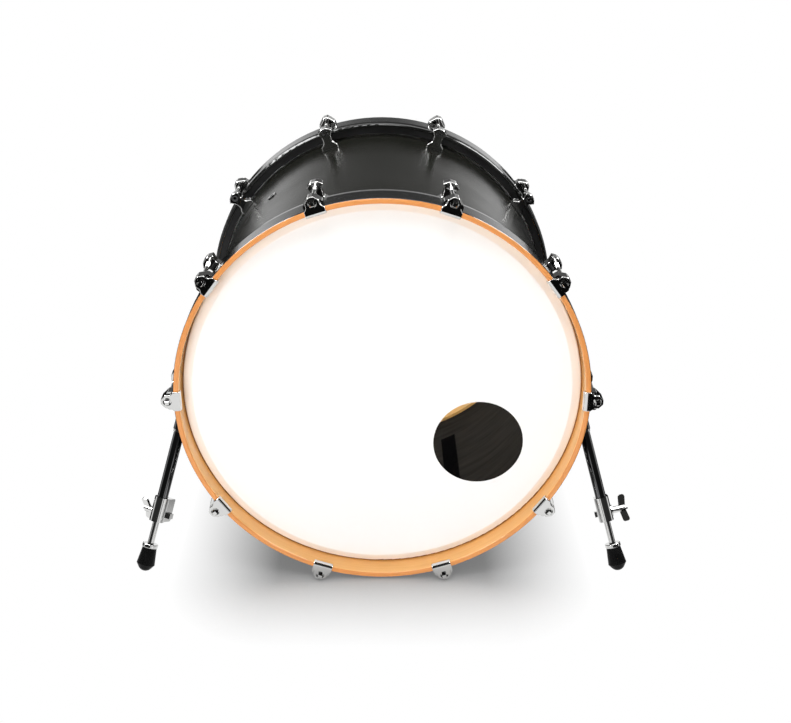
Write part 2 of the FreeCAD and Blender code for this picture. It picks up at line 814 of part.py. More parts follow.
def clamp(turn):
    """A split barrel round the tube's end, with two thick ears drawn together by a bolt."""
    barrel = leg_bar(clamp_radius, clamp_start, clamp_end)
    ear_top = -(clamp_start + ear_margin)
    ear_bottom = -(clamp_end - ear_margin)
    points = [
        vector(-ear_outer_face, 0, ear_bottom),
        vector(-ear_outer_face, ear_reach, ear_bottom),
        vector(-ear_outer_face, ear_reach, ear_top),
        vector(-ear_outer_face, 0, ear_top),
    ]
    ear_wire = rounded_wire(points, [0, ear_round, ear_round, 0])
    ears = Part.Face(ear_wire).extrude(x_axis * ear_outer_face * 2)
    tube_room = leg_bar(tube_radius + tube_fit, clamp_start - cut_overrun, tube_end)
    rod_room = leg_bar(spur_rod_radius + spur_rod_clearance, clamp_start, clamp_end + cut_overrun)
    slot = Part.makeBox(
        clamp_slot, ear_reach + cut_overrun, clamp_length + cut_overrun * 2,
        vector(-clamp_slot / 2, 0, -(clamp_end + cut_overrun)),
    )
    bolt_hole = rod_along(
        clamp_bolt_radius + clamp_bolt_fit,
        vector(-(ear_outer_face + cut_overrun), ear_bolt_back, -ear_middle),
        vector(ear_outer_face + cut_overrun, ear_bolt_back, -ear_middle),
    )
    body = barrel.fuse(ears).cut([tube_room, rod_room, slot, bolt_hole])
    return body.rotated(origin, z_axis, turn)


def clamp_bolt(turn):
    """A square-headed bolt through the ears, on which the wing nut runs."""
    half = clamp_bolt_head / 2
    head = Part.makeBox(
        clamp_bolt_head_height, clamp_bolt_head, clamp_bolt_head,
        vector(-(ear_outer_face + clamp_bolt_head_height), ear_bolt_back - half, -(ear_middle + half)),
    )
    shank = rod_along(
        clamp_bolt_radius,
        vector(-ear_outer_face, ear_bolt_back, -ear_middle),
        vector(ear_outer_face + clamp_bolt_tail, ear_bolt_back, -ear_middle),
    )
    return head.fuse(shank).rotated(origin, z_axis, turn)


def wing_nut(turn, wing_turn):
    """A flanged nut with two wings that lean outward."""
    middle = vector(ear_outer_face + wing_gap, 0, 0)
    flange_end = middle + x_axis * wing_flange_thickness
    hub_end = middle + x_axis * wing_hub_length
    flange = rod_along(wing_flange_radius, middle, flange_end)
    hub = rod_along(wing_hub_radius, middle, hub_end)
    half_span = wing_span / 2
    outline = [
        (wing_root_start, 0),
        (wing_tip_start, half_span),
        (wing_tip_end, half_span),
        (wing_root_end, 0),
    ]
    wings = []
    for side in (-1, 1):
        points = [middle + vector(x, -wing_thickness / 2, z * side) for x, z in outline]
        face = Part.Face(rounded_wire(points, [0, wing_tip_round, wing_tip_round, 0]))
        wings.append(face.extrude(y_axis * wing_thickness))
    bore = rod_along(
        clamp_bolt_radius + clamp_bolt_fit,
        middle - x_axis * cut_overrun,
        middle + x_axis * (wing_tip_end + cut_overrun),
    )
    body = hub.fuse([flange] + wings).cut(bore).rotated(origin, x_axis, wing_turn)
    return body.translated(vector(0, ear_bolt_back, -ear_middle)).rotated(origin, z_axis, turn)


def spur_rod():
    """The rod that slides in the tube and carries the foot."""
    return leg_bar(spur_rod_radius, spur_rod_start, spur_rod_end)


def foot_flange():
    """The bright flange on the rod above the rubber foot."""
    end = foot_flange_start + foot_flange_thickness
    points = [
        vector(spur_rod_radius + foot_flange_fit, 0, -foot_flange_start),
        vector(foot_flange_radius, 0, -foot_flange_start),
        vector(foot_flange_radius, 0, -end),
        vector(spur_rod_radius + foot_flange_fit, 0, -end),
    ]
    return spin(points, [0, foot_flange_round, foot_flange_round, 0], z_axis)


def rubber_foot():
    """A rubber foot that widens downward, with a blunt cone and a round tip."""
    slope = math.radians(foot_tip_angle)

    def on_tip(angle):
        return vector(math.sin(angle), 0, -math.cos(angle)) * foot_tip_radius - z_axis * foot_tip_middle

    tip = on_tip(0)
    meet = on_tip(slope)
    wide = vector(foot_wide_radius, 0, meet.z + (foot_wide_radius - meet.x) * math.tan(slope))
    top = vector(foot_top_radius, 0, -foot_start)
    top_middle = vector(0, 0, -foot_start)
    wire = Part.Wire([
        Part.Arc(tip, on_tip(slope / 2), meet).toShape(),
        Part.LineSegment(meet, wide).toShape(),
        Part.LineSegment(wide, top).toShape(),
        Part.LineSegment(top, top_middle).toShape(),
        Part.LineSegment(top_middle, tip).toShape(),
    ])
    body = Part.Face(wire).revolve(origin, z_axis, full_turn)
    bore = leg_bar(
        spur_rod_radius + foot_bore_fit, foot_start - cut_overrun, spur_rod_end + foot_bore_spare
    )
    return body.cut(bore)


def save_spur(side, mirrored, turn, wing_turn):
    """Write the pieces of one spur, mirrored for the left side."""
    def place(shape):
        if mirrored:
            return shape.mirror(origin, x_axis)
        return shape

    def place_leg(shape):
        return place(shape.transformed(spur_frame.toMatrix()))

    save(side + "_spur_bracket", place(spur_bracket()))
    save(side + "_spur_knuckle", place_leg(knuckle()))
    save(side + "_spur_ring", place_leg(spur_ring()))
    save(side + "_spur_tube", place_leg(spur_tube()))
    save(side + "_spur_clamp", place_leg(clamp(turn)))
    save(side + "_clamp_bolt", place_leg(clamp_bolt(turn)))
    save(side + "_wing_nut", place_leg(wing_nut(turn, wing_turn)))
    save(side + "_spur_rod", place_leg(spur_rod()))
    save(side + "_foot_flange", place_leg(foot_flange()))
    save(side + "_rubber_foot", place_leg(rubber_foot()))


def save_drum():
    """Write the shell, heads, hoops and what is fixed to them."""
    save("shell", shell())
    save("reinforcement_rings", brace(), turned(brace()))
    film = head_film()
    save("front_head_film", ported(film))
    save("batter_head_film", turned(film))
    save("front_flesh_hoop", flesh_hoop())
    save("batter_flesh_hoop", turned(flesh_hoop()))
    save("front_counterhoop", counterhoop())
    save("rear_counterhoop", turned(counterhoop()))
    save("vent_grommet", vent_grommet())
    save("hook_strip", hook_strip())


def save_tension():
    """Write the claws, lugs and rods of both heads, and their small pieces as groups."""
    front_claws = around(claw(), lug_angles)
    front_lugs = around(lug(), lug_angles)
    save("front_claws", *front_claws)
    save("rear_claws", *[turned(piece) for piece in front_claws])
    save("front_lugs", *front_lugs)
    save("rear_lugs", *[turned(piece) for piece in front_lugs])
    screw = inside_screw(0, lug_middle, gasket_thickness + screw_grip)
    groups = {
        "lug_gaskets": lug_gasket(),
        "lug_screws": screw,
        "swivel_nuts": swivel_nut(),
        "rod_washers": rod_washer(),
    }
    for name, piece in groups.items():
        front_pieces = around(piece, lug_angles)
        save(name, *front_pieces, *[turned(copy) for copy in front_pieces])
    for number, rod in enumerate(around(tension_rod(), lug_angles), start=1):
        save("front_tension_rod_" + str(number).zfill(2), rod)
        save("rear_tension_rod_" + str(number).zfill(2), turned(rod))


def save_spurs():
    """Write both spurs, and their bolts and screws as groups."""
    save_spur("right", False, clamp_turn_right, wing_turn_right)
    save_spur("left", True, clamp_turn_left, wing_turn_left)
    save("spur_pivot_bolts", pivot_bolt(), pivot_bolt().mirror(origin, x_axis))
    screws = []
    for angle, along in bracket_screw_places():
        screws.append(inside_screw(angle, along, bracket_screw_grip))
        screws.append(inside_screw(-angle, along, bracket_screw_grip))
    save("spur_bracket_screws", *screws)


os.makedirs("parts", exist_ok=True)
save_drum()
save_tension()
save_spurs()
print("axis height", round(axis_height, 4), "front plane", round(front_plane, 4))
print("rod circle", round(rod_circle, 4), "film plane", round(film_plane, 4))
print("pivot", pivot, "leg up", leg_up, "fold axis", fold_axis)
print("clamp", round(clamp_start, 3), round(clamp_end, 3), "foot", round(foot_start, 3), round(foot_end, 3))
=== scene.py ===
# %% [markdown]
# # A bass drum on its spurs
# The drum lies on its side, as it does on a stage: a charcoal shell, two heads, two wooden hoops
# that claws and key rods pull towards the shell, and two folding legs called spurs. The shapes come
# from the CAD model, which is loaded here as a fixed frame, so this lesson is about finishes, small
# shapes, light and the camera. Blender may not make it larger.

# %% Load the frame
import json
import math

import bmesh
import bpy
from mathutils import Matrix, Vector

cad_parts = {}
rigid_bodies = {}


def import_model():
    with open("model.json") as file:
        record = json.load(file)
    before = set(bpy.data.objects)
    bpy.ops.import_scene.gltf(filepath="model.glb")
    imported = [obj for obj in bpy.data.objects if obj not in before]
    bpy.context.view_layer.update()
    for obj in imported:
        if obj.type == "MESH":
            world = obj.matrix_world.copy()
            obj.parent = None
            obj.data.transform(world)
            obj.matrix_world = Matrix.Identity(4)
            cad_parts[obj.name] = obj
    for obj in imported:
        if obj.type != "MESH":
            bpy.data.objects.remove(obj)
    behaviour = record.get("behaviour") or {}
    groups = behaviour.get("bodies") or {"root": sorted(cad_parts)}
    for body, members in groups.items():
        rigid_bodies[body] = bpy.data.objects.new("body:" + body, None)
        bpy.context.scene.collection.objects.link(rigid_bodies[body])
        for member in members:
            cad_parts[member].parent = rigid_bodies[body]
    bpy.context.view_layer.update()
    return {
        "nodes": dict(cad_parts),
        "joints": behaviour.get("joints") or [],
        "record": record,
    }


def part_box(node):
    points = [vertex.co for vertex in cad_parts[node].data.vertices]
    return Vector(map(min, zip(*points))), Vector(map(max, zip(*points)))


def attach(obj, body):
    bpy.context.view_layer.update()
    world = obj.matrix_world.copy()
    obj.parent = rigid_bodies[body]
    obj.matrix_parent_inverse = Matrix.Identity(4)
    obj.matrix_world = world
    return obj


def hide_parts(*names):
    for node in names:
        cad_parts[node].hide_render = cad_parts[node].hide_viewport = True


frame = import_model()
nodes = frame["nodes"]

# %% [markdown]
# Everything round is centred on the drum's axis, so its place and a few radii are measured from the
# loaded nodes instead of being typed again. If the CAD model changes, the finishes move with it.

# %% Measure the drum
millimetre = 0.001
hoop_wall = 8.3 * millimetre
shell_low, shell_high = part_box("shell")
hoop_low, hoop_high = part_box("front_counterhoop")
drum_middle = (shell_low + shell_high) / 2
shell_radius = (shell_high.x - shell_low.x) / 2
hoop_radius = (hoop_high.x - hoop_low.x) / 2
hoop_front = abs(hoop_low.y - drum_middle.y)
hoop_back = abs(hoop_high.y - drum_middle.y)
hoop_bore = hoop_radius - hoop_wall
print("axis height", round(drum_middle.z, 4))
print("shell radius", round(shell_radius, 4), "hoop radius", round(hoop_radius, 4))

# %% [markdown]
# ## Tools for finishes
# A finish is a small network of nodes. A few helpers keep each network readable: they add a node, set
# or link its inputs in the same line, and give back the output that is needed next.

# %% Node helpers
def feed(tree, socket, value):
    """Link a socket to another, or set its own value."""
    if isinstance(value, bpy.types.NodeSocket):
        tree.links.new(value, socket)
    else:
        socket.default_value = value


def add(tree, kind, inputs=None, **settings):
    """Add one node, with its settings and its inputs."""
    made = tree.nodes.new("ShaderNode" + kind)
    for name, value in settings.items():
        setattr(made, name, value)
    for name, value in (inputs or {}).items():
        feed(tree, made.inputs[name], value)
    return made


def math_node(tree, operation, *values):
    """The result of a Math node."""
    return add(tree, "Math", dict(enumerate(values)), operation=operation).outputs[0]


def vector_node(tree, operation, *values):
    """The vector that a Vector Math node gives."""
    return add(tree, "VectorMath", dict(enumerate(values)), operation=operation).outputs[0]


def length_of(tree, vector):
    """The length of a vector."""
    return add(tree, "VectorMath", {0: vector}, operation="LENGTH").outputs["Value"]


def rescale(tree, value, start, end, low=0.0, high=1.0):
    """A value between start and end, moved to between low and high."""
    limits = {"From Min": start, "From Max": end, "To Min": low, "To Max": high}
    return add(tree, "MapRange", {"Value": value, **limits}).outputs["Result"]


def noise(tree, place, scale, detail):
    """Plain noise at a scale."""
    inputs = {"Vector": place, "Scale": scale, "Detail": detail}
    return add(tree, "TexNoise", inputs).outputs[0]


def grey(value):
    """A colour without a hue."""
    return (value, value, value, 1)


def blend_colours(tree, share, first, second):
    """The colour part of a Mix node."""
    made = add(tree, "Mix", data_type="RGBA")
    feed(tree, made.inputs["Factor"], share)
    feed(tree, made.inputs["A"], first)
    feed(tree, made.inputs["B"], second)
    return made.outputs["Result"]


def bump_normal(tree, height, distance, strength):
    """The normal that a height gives."""
    bump = add(tree, "Bump", {"Height": height, "Distance": distance, "Strength": strength})
    return bump.outputs["Normal"]


print("node helpers ready")

# %% [markdown]
# Three more helpers start things: a material with its shader, a node group with named sockets, and a
# use of that group in a material. A group is how one effect is shared by several finishes with
# different values.

# %% Material and group helpers
def start_finish(name):
    """A new material, its tree, its shader and its Object coordinates."""
    material = bpy.data.materials.new(name)
    material.use_nodes = True
    tree = material.node_tree
    place = add(tree, "TexCoord").outputs["Object"]
    return material, tree, tree.nodes["Principled BSDF"], place


def start_group(name, inputs, outputs):
    """A new node group with named sockets, and its inner ends."""
    tree = bpy.data.node_groups.new(name, "ShaderNodeTree")
    for in_out, sockets in (("INPUT", inputs), ("OUTPUT", outputs)):
        for socket, kind in sockets.items():
            tree.interface.new_socket(socket, in_out=in_out, socket_type="NodeSocket" + kind)
    entry = tree.nodes.new("NodeGroupInput").outputs
    leave = tree.nodes.new("NodeGroupOutput").inputs
    return tree, entry, leave


def place_group(tree, group, inputs):
    """One use of a node group in a material."""
    made = tree.nodes.new("ShaderNodeGroup")
    made.node_tree = group
    for name, value in inputs.items():
        feed(tree, made.inputs[name], value)
    return made.outputs


print("material and group helpers ready")

# %% [markdown]
# Hoops, shell and rings are wood that is bent round the drum, so their grain runs round it too. A
# flat wood texture would show a seam somewhere. This group reads the direction from the axis as a
# point on a circle, which closes on itself, and lets the pattern change slowly round the drum and
# fast across it. It also gives the distance from the axis, which tells an outer face from an inner
# one.

# %% Bent wood grain, shared by the hoops, the shell, the rings and the flesh hoops
grain_detail = 5
pore_fineness = 4
pore_detail = 2
pore_start = 0.58
pore_full = 0.72
bent_grain, entry, leave = start_group(
    "bent_grain",
    {"Place": "Vector", "Around": "Float", "Across": "Float", "Through": "Float"},
    {"Grain": "Float", "Pores": "Float", "Radius": "Float", "Along": "Float"},
)
from_middle = vector_node(bent_grain, "SUBTRACT", entry["Place"], drum_middle)
parts = add(bent_grain, "SeparateXYZ", {"Vector": from_middle}).outputs
flat = add(bent_grain, "CombineXYZ", {"X": parts["X"], "Z": parts["Z"]}).outputs[0]
radius = length_of(bent_grain, flat)
turn = vector_node(bent_grain, "NORMALIZE", flat)


def grain_noise(finer, detail):
    """Noise that is stretched round the drum; finer divides its size."""
    round_scale = math_node(bent_grain, "MULTIPLY", entry["Around"], finer)
    scaled_turn = {0: turn, "Scale": round_scale}
    round_part = add(bent_grain, "VectorMath", scaled_turn, operation="SCALE").outputs[0]
    across_scale = math_node(bent_grain, "MULTIPLY", entry["Across"], finer)
    across = math_node(bent_grain, "MULTIPLY", parts["Y"], across_scale)
    along_part = add(bent_grain, "CombineXYZ", {"Y": across}).outputs[0]
    spot = vector_node(bent_grain, "ADD", round_part, along_part)
    depth_scale = math_node(bent_grain, "MULTIPLY", entry["Through"], finer)
    depth = math_node(bent_grain, "MULTIPLY", radius, depth_scale)
    inputs = {"Vector": spot, "W": depth, "Scale": 1, "Detail": detail}
    return add(bent_grain, "TexNoise", inputs, noise_dimensions="4D").outputs[0]


feed(bent_grain, leave["Grain"], grain_noise(1, grain_detail))
pore_noise = grain_noise(pore_fineness, pore_detail)
feed(bent_grain, leave["Pores"], rescale(bent_grain, pore_noise, pore_start, pore_full))
feed(bent_grain, leave["Radius"], radius)
feed(bent_grain, leave["Along"], parts["Y"])
print("group", bent_grain.name, len(bent_grain.nodes), "nodes")

# %% [markdown]
# Polished and lacquered faces are never evenly smooth: hands, polishing cloths and drying leave
# patches that are a little duller, and fine hairlines. One group makes both, as a roughness and a
# height.

# %% Handled surface, shared by metal, lacquer, film and rubber
patch_detail = 4
patch_start = 0.35
patch_full = 0.7
hairline_stretch = (900, 900, 60)
hairline_detail = 1
handled, entry, leave = start_group(
    "handled_surface",
    {"Place": "Vector", "Patch Scale": "Float", "Smooth": "Float", "Dull": "Float"},
    {"Roughness": "Float", "Hairlines": "Float", "Patches": "Float"},
)
patches = noise(handled, entry["Place"], entry["Patch Scale"], patch_detail)
dullness = rescale(handled, patches, patch_start, patch_full, entry["Smooth"], entry["Dull"])
stretched = vector_node(handled, "MULTIPLY", entry["Place"], hairline_stretch)
lines = noise(handled, stretched, 1, hairline_detail)
feed(handled, leave["Roughness"], dullness)
feed(handled, leave["Hairlines"], lines)
feed(handled, leave["Patches"], patches)
print("group", handled.name, len(handled.nodes), "nodes")

# %% [markdown]
# ## Shell
# The shell is charcoal lacquer outside and dark stained wood inside. It is one CAD solid, so the
# finish tells the two faces apart by their distance from the axis. The lacquer is satin, with a weak
# and slightly blurred mirror and the grain just showing through. The stain inside is dull.

# %% Shell lacquer
charcoal_dark = (0.0074, 0.0077, 0.0056, 1)
charcoal_light = (0.0110, 0.0113, 0.0086, 1)
stain_dark = (0.004, 0.0037, 0.0032, 1)
stain_light = (0.032, 0.0295, 0.0255, 1)
lacquer_depth = 1.0 * millimetre
stain_dulling = 0.6
stain_shine = 0.05
lacquer_shine = 0.14


def shell_finish():
    """Charcoal lacquer outside, dark stain inside."""
    material, tree, shader, place = start_finish("charcoal_lacquer")
    stretch = {"Around": 4, "Across": 120, "Through": 300}
    grain = place_group(tree, bent_grain, {"Place": place, **stretch})
    polish = {"Patch Scale": 9, "Smooth": 0.19, "Dull": 0.26}
    worn = place_group(tree, handled, {"Place": place, **polish})
    outside = math_node(tree, "GREATER_THAN", grain["Radius"], shell_radius - lacquer_depth)
    lacquer = blend_colours(tree, grain["Grain"], charcoal_dark, charcoal_light)
    stain = blend_colours(tree, grain["Grain"], stain_dark, stain_light)
    feed(tree, shader.inputs["Base Color"], blend_colours(tree, outside, stain, lacquer))
    inside = math_node(tree, "SUBTRACT", 1, outside)
    inside_dull = math_node(tree, "MULTIPLY", inside, stain_dulling)
    roughness = math_node(tree, "ADD", worn["Roughness"], inside_dull)
    feed(tree, shader.inputs["Roughness"], roughness)
    shine = rescale(tree, outside, 0.0, 1.0, stain_shine, lacquer_shine)
    feed(tree, shader.inputs["Specular IOR Level"], shine)
    normal = bump_normal(tree, grain["Pores"], distance=0.02 * millimetre, strength=0.3)
    feed(tree, shader.inputs["Normal"], normal)
    return material


finishes = {"shell_lacquer": shell_finish()}
print("finish", finishes["shell_lacquer"].name)

# %% [markdown]
# ## Hoops and rings
# Hoops and reinforcement rings are maple, bent and glued in plies. The plies could be modelled one by
# one, but they show only as thin darker lines on the edges, so they are painted: the distance from the
# axis is divided by the thickness of a ply, and the end of each step is glue. The rings are left raw.

# %% Clear maple
maple_dark = (0.62, 0.225, 0.060, 1)
maple_light = (0.86, 0.370, 0.115, 1)
raw_maple_dark = (0.66, 0.37, 0.12, 1)
raw_maple_light = (0.88, 0.53, 0.18, 1)
ply_thickness = 1.5 * millimetre
glue_start = 0.86
glue_share = 0.22
glue_brown = (0.36, 0.13, 0.035, 1)
pore_share = 0.25
pore_brown = (0.38, 0.14, 0.04, 1)


def maple_colour(tree, grain, dark, light):
    """Clear maple: streaks, pores and thin darker glue lines between the plies."""
    colour = blend_colours(tree, grain["Grain"], dark, light)
    plies = math_node(tree, "DIVIDE", grain["Radius"], ply_thickness)
    glue = rescale(tree, math_node(tree, "FRACT", plies), glue_start, 1.0, 0.0, glue_share)
    colour = blend_colours(tree, glue, colour, glue_brown)
    pores = math_node(tree, "MULTIPLY", grain["Pores"], pore_share)
    return blend_colours(tree, pores, colour, pore_brown)


def wood_normal(tree, grain):
    """The fine pores of clear or lacquered maple."""
    return bump_normal(tree, grain["Pores"], distance=0.03 * millimetre, strength=0.4)


def brace_finish():
    """The raw maple of the reinforcement rings."""
    material, tree, shader, place = start_finish("clear_maple_ring")
    stretch = {"Around": 5, "Across": 300, "Through": 700}
    grain = place_group(tree, bent_grain, {"Place": place, **stretch})
    polish = {"Patch Scale": 14, "Smooth": 0.35, "Dull": 0.5}
    worn = place_group(tree, handled, {"Place": place, **polish})
    wood = maple_colour(tree, grain, raw_maple_dark, raw_maple_light)
    feed(tree, shader.inputs["Base Color"], wood)
    feed(tree, shader.inputs["Roughness"], worn["Roughness"])
    feed(tree, shader.inputs["Normal"], wood_normal(tree, grain))
    return material


finishes["brace_wood"] = brace_finish()
print("finish", finishes["brace_wood"].name)

# %% [markdown]
# A counterhoop's outer face and its shell-side edge are lacquered black, while the edge towards the
# audience and the inside are left clear. Both are on one solid again. The outer face is found by its
# distance from the axis and the shell side by its place along the axis, and the change falls on the
# rounded corner, where a painter's tape would end. The bore is faced with one veneer, drawn paler than
# the maple of the edge as painted light for the light that falls into the bore, while the edge shows
# the ends of all the plies.

# %% Black and maple hoop
# Painted light: the bore's veneer is drawn paler than the edge maple.
lit_veneer_dark = (0.80, 0.39, 0.125, 1)
lit_veneer_light = (0.95, 0.55, 0.195, 1)
lit_veneer_thickness = 0.5 * millimetre
hoop_black_dark = (0.0050, 0.0052, 0.0048, 1)
hoop_black_light = (0.0085, 0.0088, 0.0080, 1)
outer_face_depth = 0.7 * millimetre
eased_depth = 4.0 * millimetre
clear_corner = 6.0 * millimetre
shell_edge_width = 5.0 * millimetre


def hoop_finish():
    """Black lacquer outside and towards the shell, clear maple elsewhere."""
    material, tree, shader, place = start_finish("black_and_maple_hoop")
    stretch = {"Around": 5, "Across": 350, "Through": 700}
    grain = place_group(tree, bent_grain, {"Place": place, **stretch})
    polish = {"Patch Scale": 14, "Smooth": 0.08, "Dull": 0.13}
    worn = place_group(tree, handled, {"Place": place, **polish})
    outer = math_node(tree, "GREATER_THAN", grain["Radius"], hoop_radius - outer_face_depth)
    from_centre = math_node(tree, "ABSOLUTE", grain["Along"])
    skin = math_node(tree, "GREATER_THAN", grain["Radius"], hoop_radius - eased_depth)
    behind_corner = math_node(tree, "LESS_THAN", from_centre, hoop_front - clear_corner)
    shell_edge = math_node(tree, "LESS_THAN", from_centre, hoop_back + shell_edge_width)
    eased = math_node(tree, "MULTIPLY", skin, behind_corner)
    black = math_node(tree, "MAXIMUM", math_node(tree, "MAXIMUM", outer, eased), shell_edge)
    lacquer = blend_colours(tree, worn["Patches"], hoop_black_dark, hoop_black_light)
    edge_wood = maple_colour(tree, grain, maple_dark, maple_light)
    # Painted light: the paler veneer colour of the bore.
    lit_veneer = blend_colours(tree, grain["Grain"], lit_veneer_dark, lit_veneer_light)
    in_bore = math_node(tree, "LESS_THAN", grain["Radius"], hoop_bore + lit_veneer_thickness)
    wood = blend_colours(tree, in_bore, edge_wood, lit_veneer)
    feed(tree, shader.inputs["Base Color"], blend_colours(tree, black, wood, lacquer))
    feed(tree, shader.inputs["Roughness"], worn["Roughness"])
    feed(tree, shader.inputs["Normal"], wood_normal(tree, grain))
    return material


finishes["hoop_wood"] = hoop_finish()
print("finish", finishes["hoop_wood"].name)

# %% [markdown]
# ## Heads
# A white head is a clear plastic film with a sprayed coat. The coat is a fine even grit, which takes
# the mirror out of the plastic. The grit is far too small for geometry, so it is a height from fine
# noise.

# %% Coated film
film_dark = (0.90, 0.895, 0.885, 1)
film_light = (0.93, 0.93, 0.92, 1)
grit_scale = 1600


def film_finish():
    """White coated plastic."""
    material, tree, shader, place = start_finish("coated_white_film")
    polish = {"Patch Scale": 6, "Smooth": 0.42, "Dull": 0.52}
    worn = place_group(tree, handled, {"Place": place, **polish})
    grit = noise(tree, place, grit_scale, detail=2)
    white = blend_colours(tree, worn["Patches"], film_dark, film_light)
    feed(tree, shader.inputs["Base Color"], white)
    feed(tree, shader.inputs["Roughness"], worn["Roughness"])
    normal = bump_normal(tree, grit, distance=0.02 * millimetre, strength=0.25)
    feed(tree, shader.inputs["Normal"], normal)
    return material


finishes["head_film"] = film_finish()
print("finish", finishes["head_film"].name)

# %% [markdown]
# ## Metal
# Claws, rods, lugs and the clamps are chromed: a mirror with faint hairlines. The spur tubes are
# black nickel, a mirror that gives back about a sixth of the light. The other metals differ in colour
# and polish only, so one function makes them all from a table of finishes. Each row has a name, a
# darker and a lighter colour, and the roughness of smooth and of dull patches.

# %% Metals
metals = {
    "chrome_hardware": ("polished_chrome", (0.66, 0.66, 0.65, 1), (0.72, 0.72, 0.71, 1), 0.03, 0.07),
    "spur_black": ("black_nickel", (0.14, 0.14, 0.143, 1), (0.18, 0.18, 0.183, 1), 0.04, 0.08),
    "nut_steel": ("dark_plated_steel", (0.16, 0.16, 0.165, 1), (0.22, 0.22, 0.225, 1), 0.22, 0.36),
    "screw_steel": ("zinc_steel", (0.46, 0.46, 0.47, 1), (0.56, 0.56, 0.57, 1), 0.22, 0.36),
}


def metal_finish(name, darker, lighter, smooth, dull):
    """A bare or plated metal with faint hairlines."""
    material, tree, shader, place = start_finish(name)
    polish = {"Patch Scale": 40, "Smooth": smooth, "Dull": dull}
    worn = place_group(tree, handled, {"Place": place, **polish})
    colour = blend_colours(tree, worn["Patches"], darker, lighter)
    feed(tree, shader.inputs["Base Color"], colour)
    feed(tree, shader.inputs["Roughness"], worn["Roughness"])
    normal = bump_normal(tree, worn["Hairlines"], distance=0.004 * millimetre, strength=0.15)
    feed(tree, shader.inputs["Normal"], normal)
    shader.inputs["Metallic"].default_value = 1.0
    return material


for slot, values in metals.items():
    finishes[slot] = metal_finish(*values)
print("metals", len(metals))

# %% [markdown]
# The flesh hoop is a channel of aluminium that holds the film's edge in resin. The channel is drawn
# black, painted shade for the shadowed gap between the film and the hoop, and the resin on the face
# that looks away from the shell is drawn amber brown, painted shade that makes the dark brown line of
# the shadowed groove all round the head.

# %% Flesh hoop
resin_depth = 0.3 * millimetre
# Painted shade: the resin face is drawn dark amber brown for the shadowed groove.
amber_shade_dark = (0.20, 0.085, 0.022, 1)
amber_shade_light = (0.34, 0.16, 0.05, 1)
flesh_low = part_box("front_flesh_hoop")[0]
resin_face = abs(flesh_low.y - drum_middle.y) - resin_depth


def flesh_finish():
    """A channel drawn black, and a resin face drawn brown, both as painted shade."""
    material, tree, shader, place = start_finish("painted_shade_channel_and_resin")
    stretch = {"Around": 30, "Across": 200, "Through": 400}
    grain = place_group(tree, bent_grain, {"Place": place, **stretch})
    polish = {"Patch Scale": 40, "Smooth": 0.3, "Dull": 0.45}
    worn = place_group(tree, handled, {"Place": place, **polish})
    from_centre = math_node(tree, "ABSOLUTE", grain["Along"])
    resin = math_node(tree, "GREATER_THAN", from_centre, resin_face)
    amber_shade = blend_colours(tree, grain["Grain"], amber_shade_dark, amber_shade_light)
    # Painted shade: the channel is drawn black for the shadowed gap.
    black = blend_colours(tree, worn["Patches"], grey(0.004), grey(0.009))
    feed(tree, shader.inputs["Base Color"], blend_colours(tree, resin, black, amber_shade))
    feed(tree, shader.inputs["Roughness"], worn["Roughness"])
    return material


finishes["flesh_metal"] = flesh_finish()
print("finish", finishes["flesh_metal"].name)

# %% [markdown]
# ## Black pieces
# Four blacks meet on this drum: the glossy coat of the air vent, the rubber of the feet, the rubber
# of the gaskets, and the hook strip inside. They differ in darkness, in how much they shine and in
# the size of the fine grain that breaks up the shine. Each row has a name, a darker and a lighter
# grey, the roughness of smooth and of dull patches, the scale of the grain and the shine.

# %% Coat and rubber
blacks = {
    "vent_black": ("glossy_black_coat", 0.006, 0.012, 0.08, 0.14, 400, 0.6),
    "foot_rubber": ("black_rubber", 0.002, 0.005, 0.30, 0.45, 900, 0.08),
    "gasket_black": ("gasket_rubber", 0.008, 0.014, 0.55, 0.70, 900, 0.25),
}


def black_finish(name, darker, lighter, smooth, dull, grain_scale, shine):
    """A black coat or rubber with a fine grain."""
    material, tree, shader, place = start_finish(name)
    polish = {"Patch Scale": 50, "Smooth": smooth, "Dull": dull}
    worn = place_group(tree, handled, {"Place": place, **polish})
    fine_grain = noise(tree, place, grain_scale, detail=2)
    colour = blend_colours(tree, worn["Patches"], grey(darker), grey(lighter))
    feed(tree, shader.inputs["Base Color"], colour)
    feed(tree, shader.inputs["Roughness"], worn["Roughness"])
    normal = bump_normal(tree, fine_grain, distance=0.02 * millimetre, strength=0.3)
    feed(tree, shader.inputs["Normal"], normal)
    shader.inputs["Specular IOR Level"].default_value = shine
    return material


for slot, values in blacks.items():
    finishes[slot] = black_finish(*values)
print("blacks", len(blacks))

# %% [markdown]
# The hook strip is woven nylon, the darkest and dullest of the four. Its weave is coarser than the
# grain of rubber, so one noise gives both its colour and its height.

# %% Nylon of the hook strip
nylon_dark = (0.001, 0.001, 0.001, 1)
nylon_light = (0.003, 0.003, 0.0035, 1)
weave_scale = 700


def strip_finish():
    """Dull black nylon."""
    material, tree, shader, place = start_finish("hook_strip_nylon")
    weave = noise(tree, place, weave_scale, detail=3)
    colour = blend_colours(tree, weave, nylon_dark, nylon_light)
    feed(tree, shader.inputs["Base Color"], colour)
    normal = bump_normal(tree, weave, distance=0.1 * millimetre, strength=0.5)
    feed(tree, shader.inputs["Normal"], normal)
    shader.inputs["Roughness"].default_value = 0.85
    shader.inputs["Specular IOR Level"].default_value = 0.03
    return material


finishes["strip_black"] = strip_finish()
print("finishes so far", len(finishes))

# %% [markdown]
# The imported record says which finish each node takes, so the nodes are dressed in one loop. Their
# meshes and places stay as the CAD program made them; only the material in the slot changes.

# %% Dress the nodes
for part in frame["record"]["subparts"]:
    nodes[part["node"]].material_slots[0].material = finishes[part["material_slot"]]

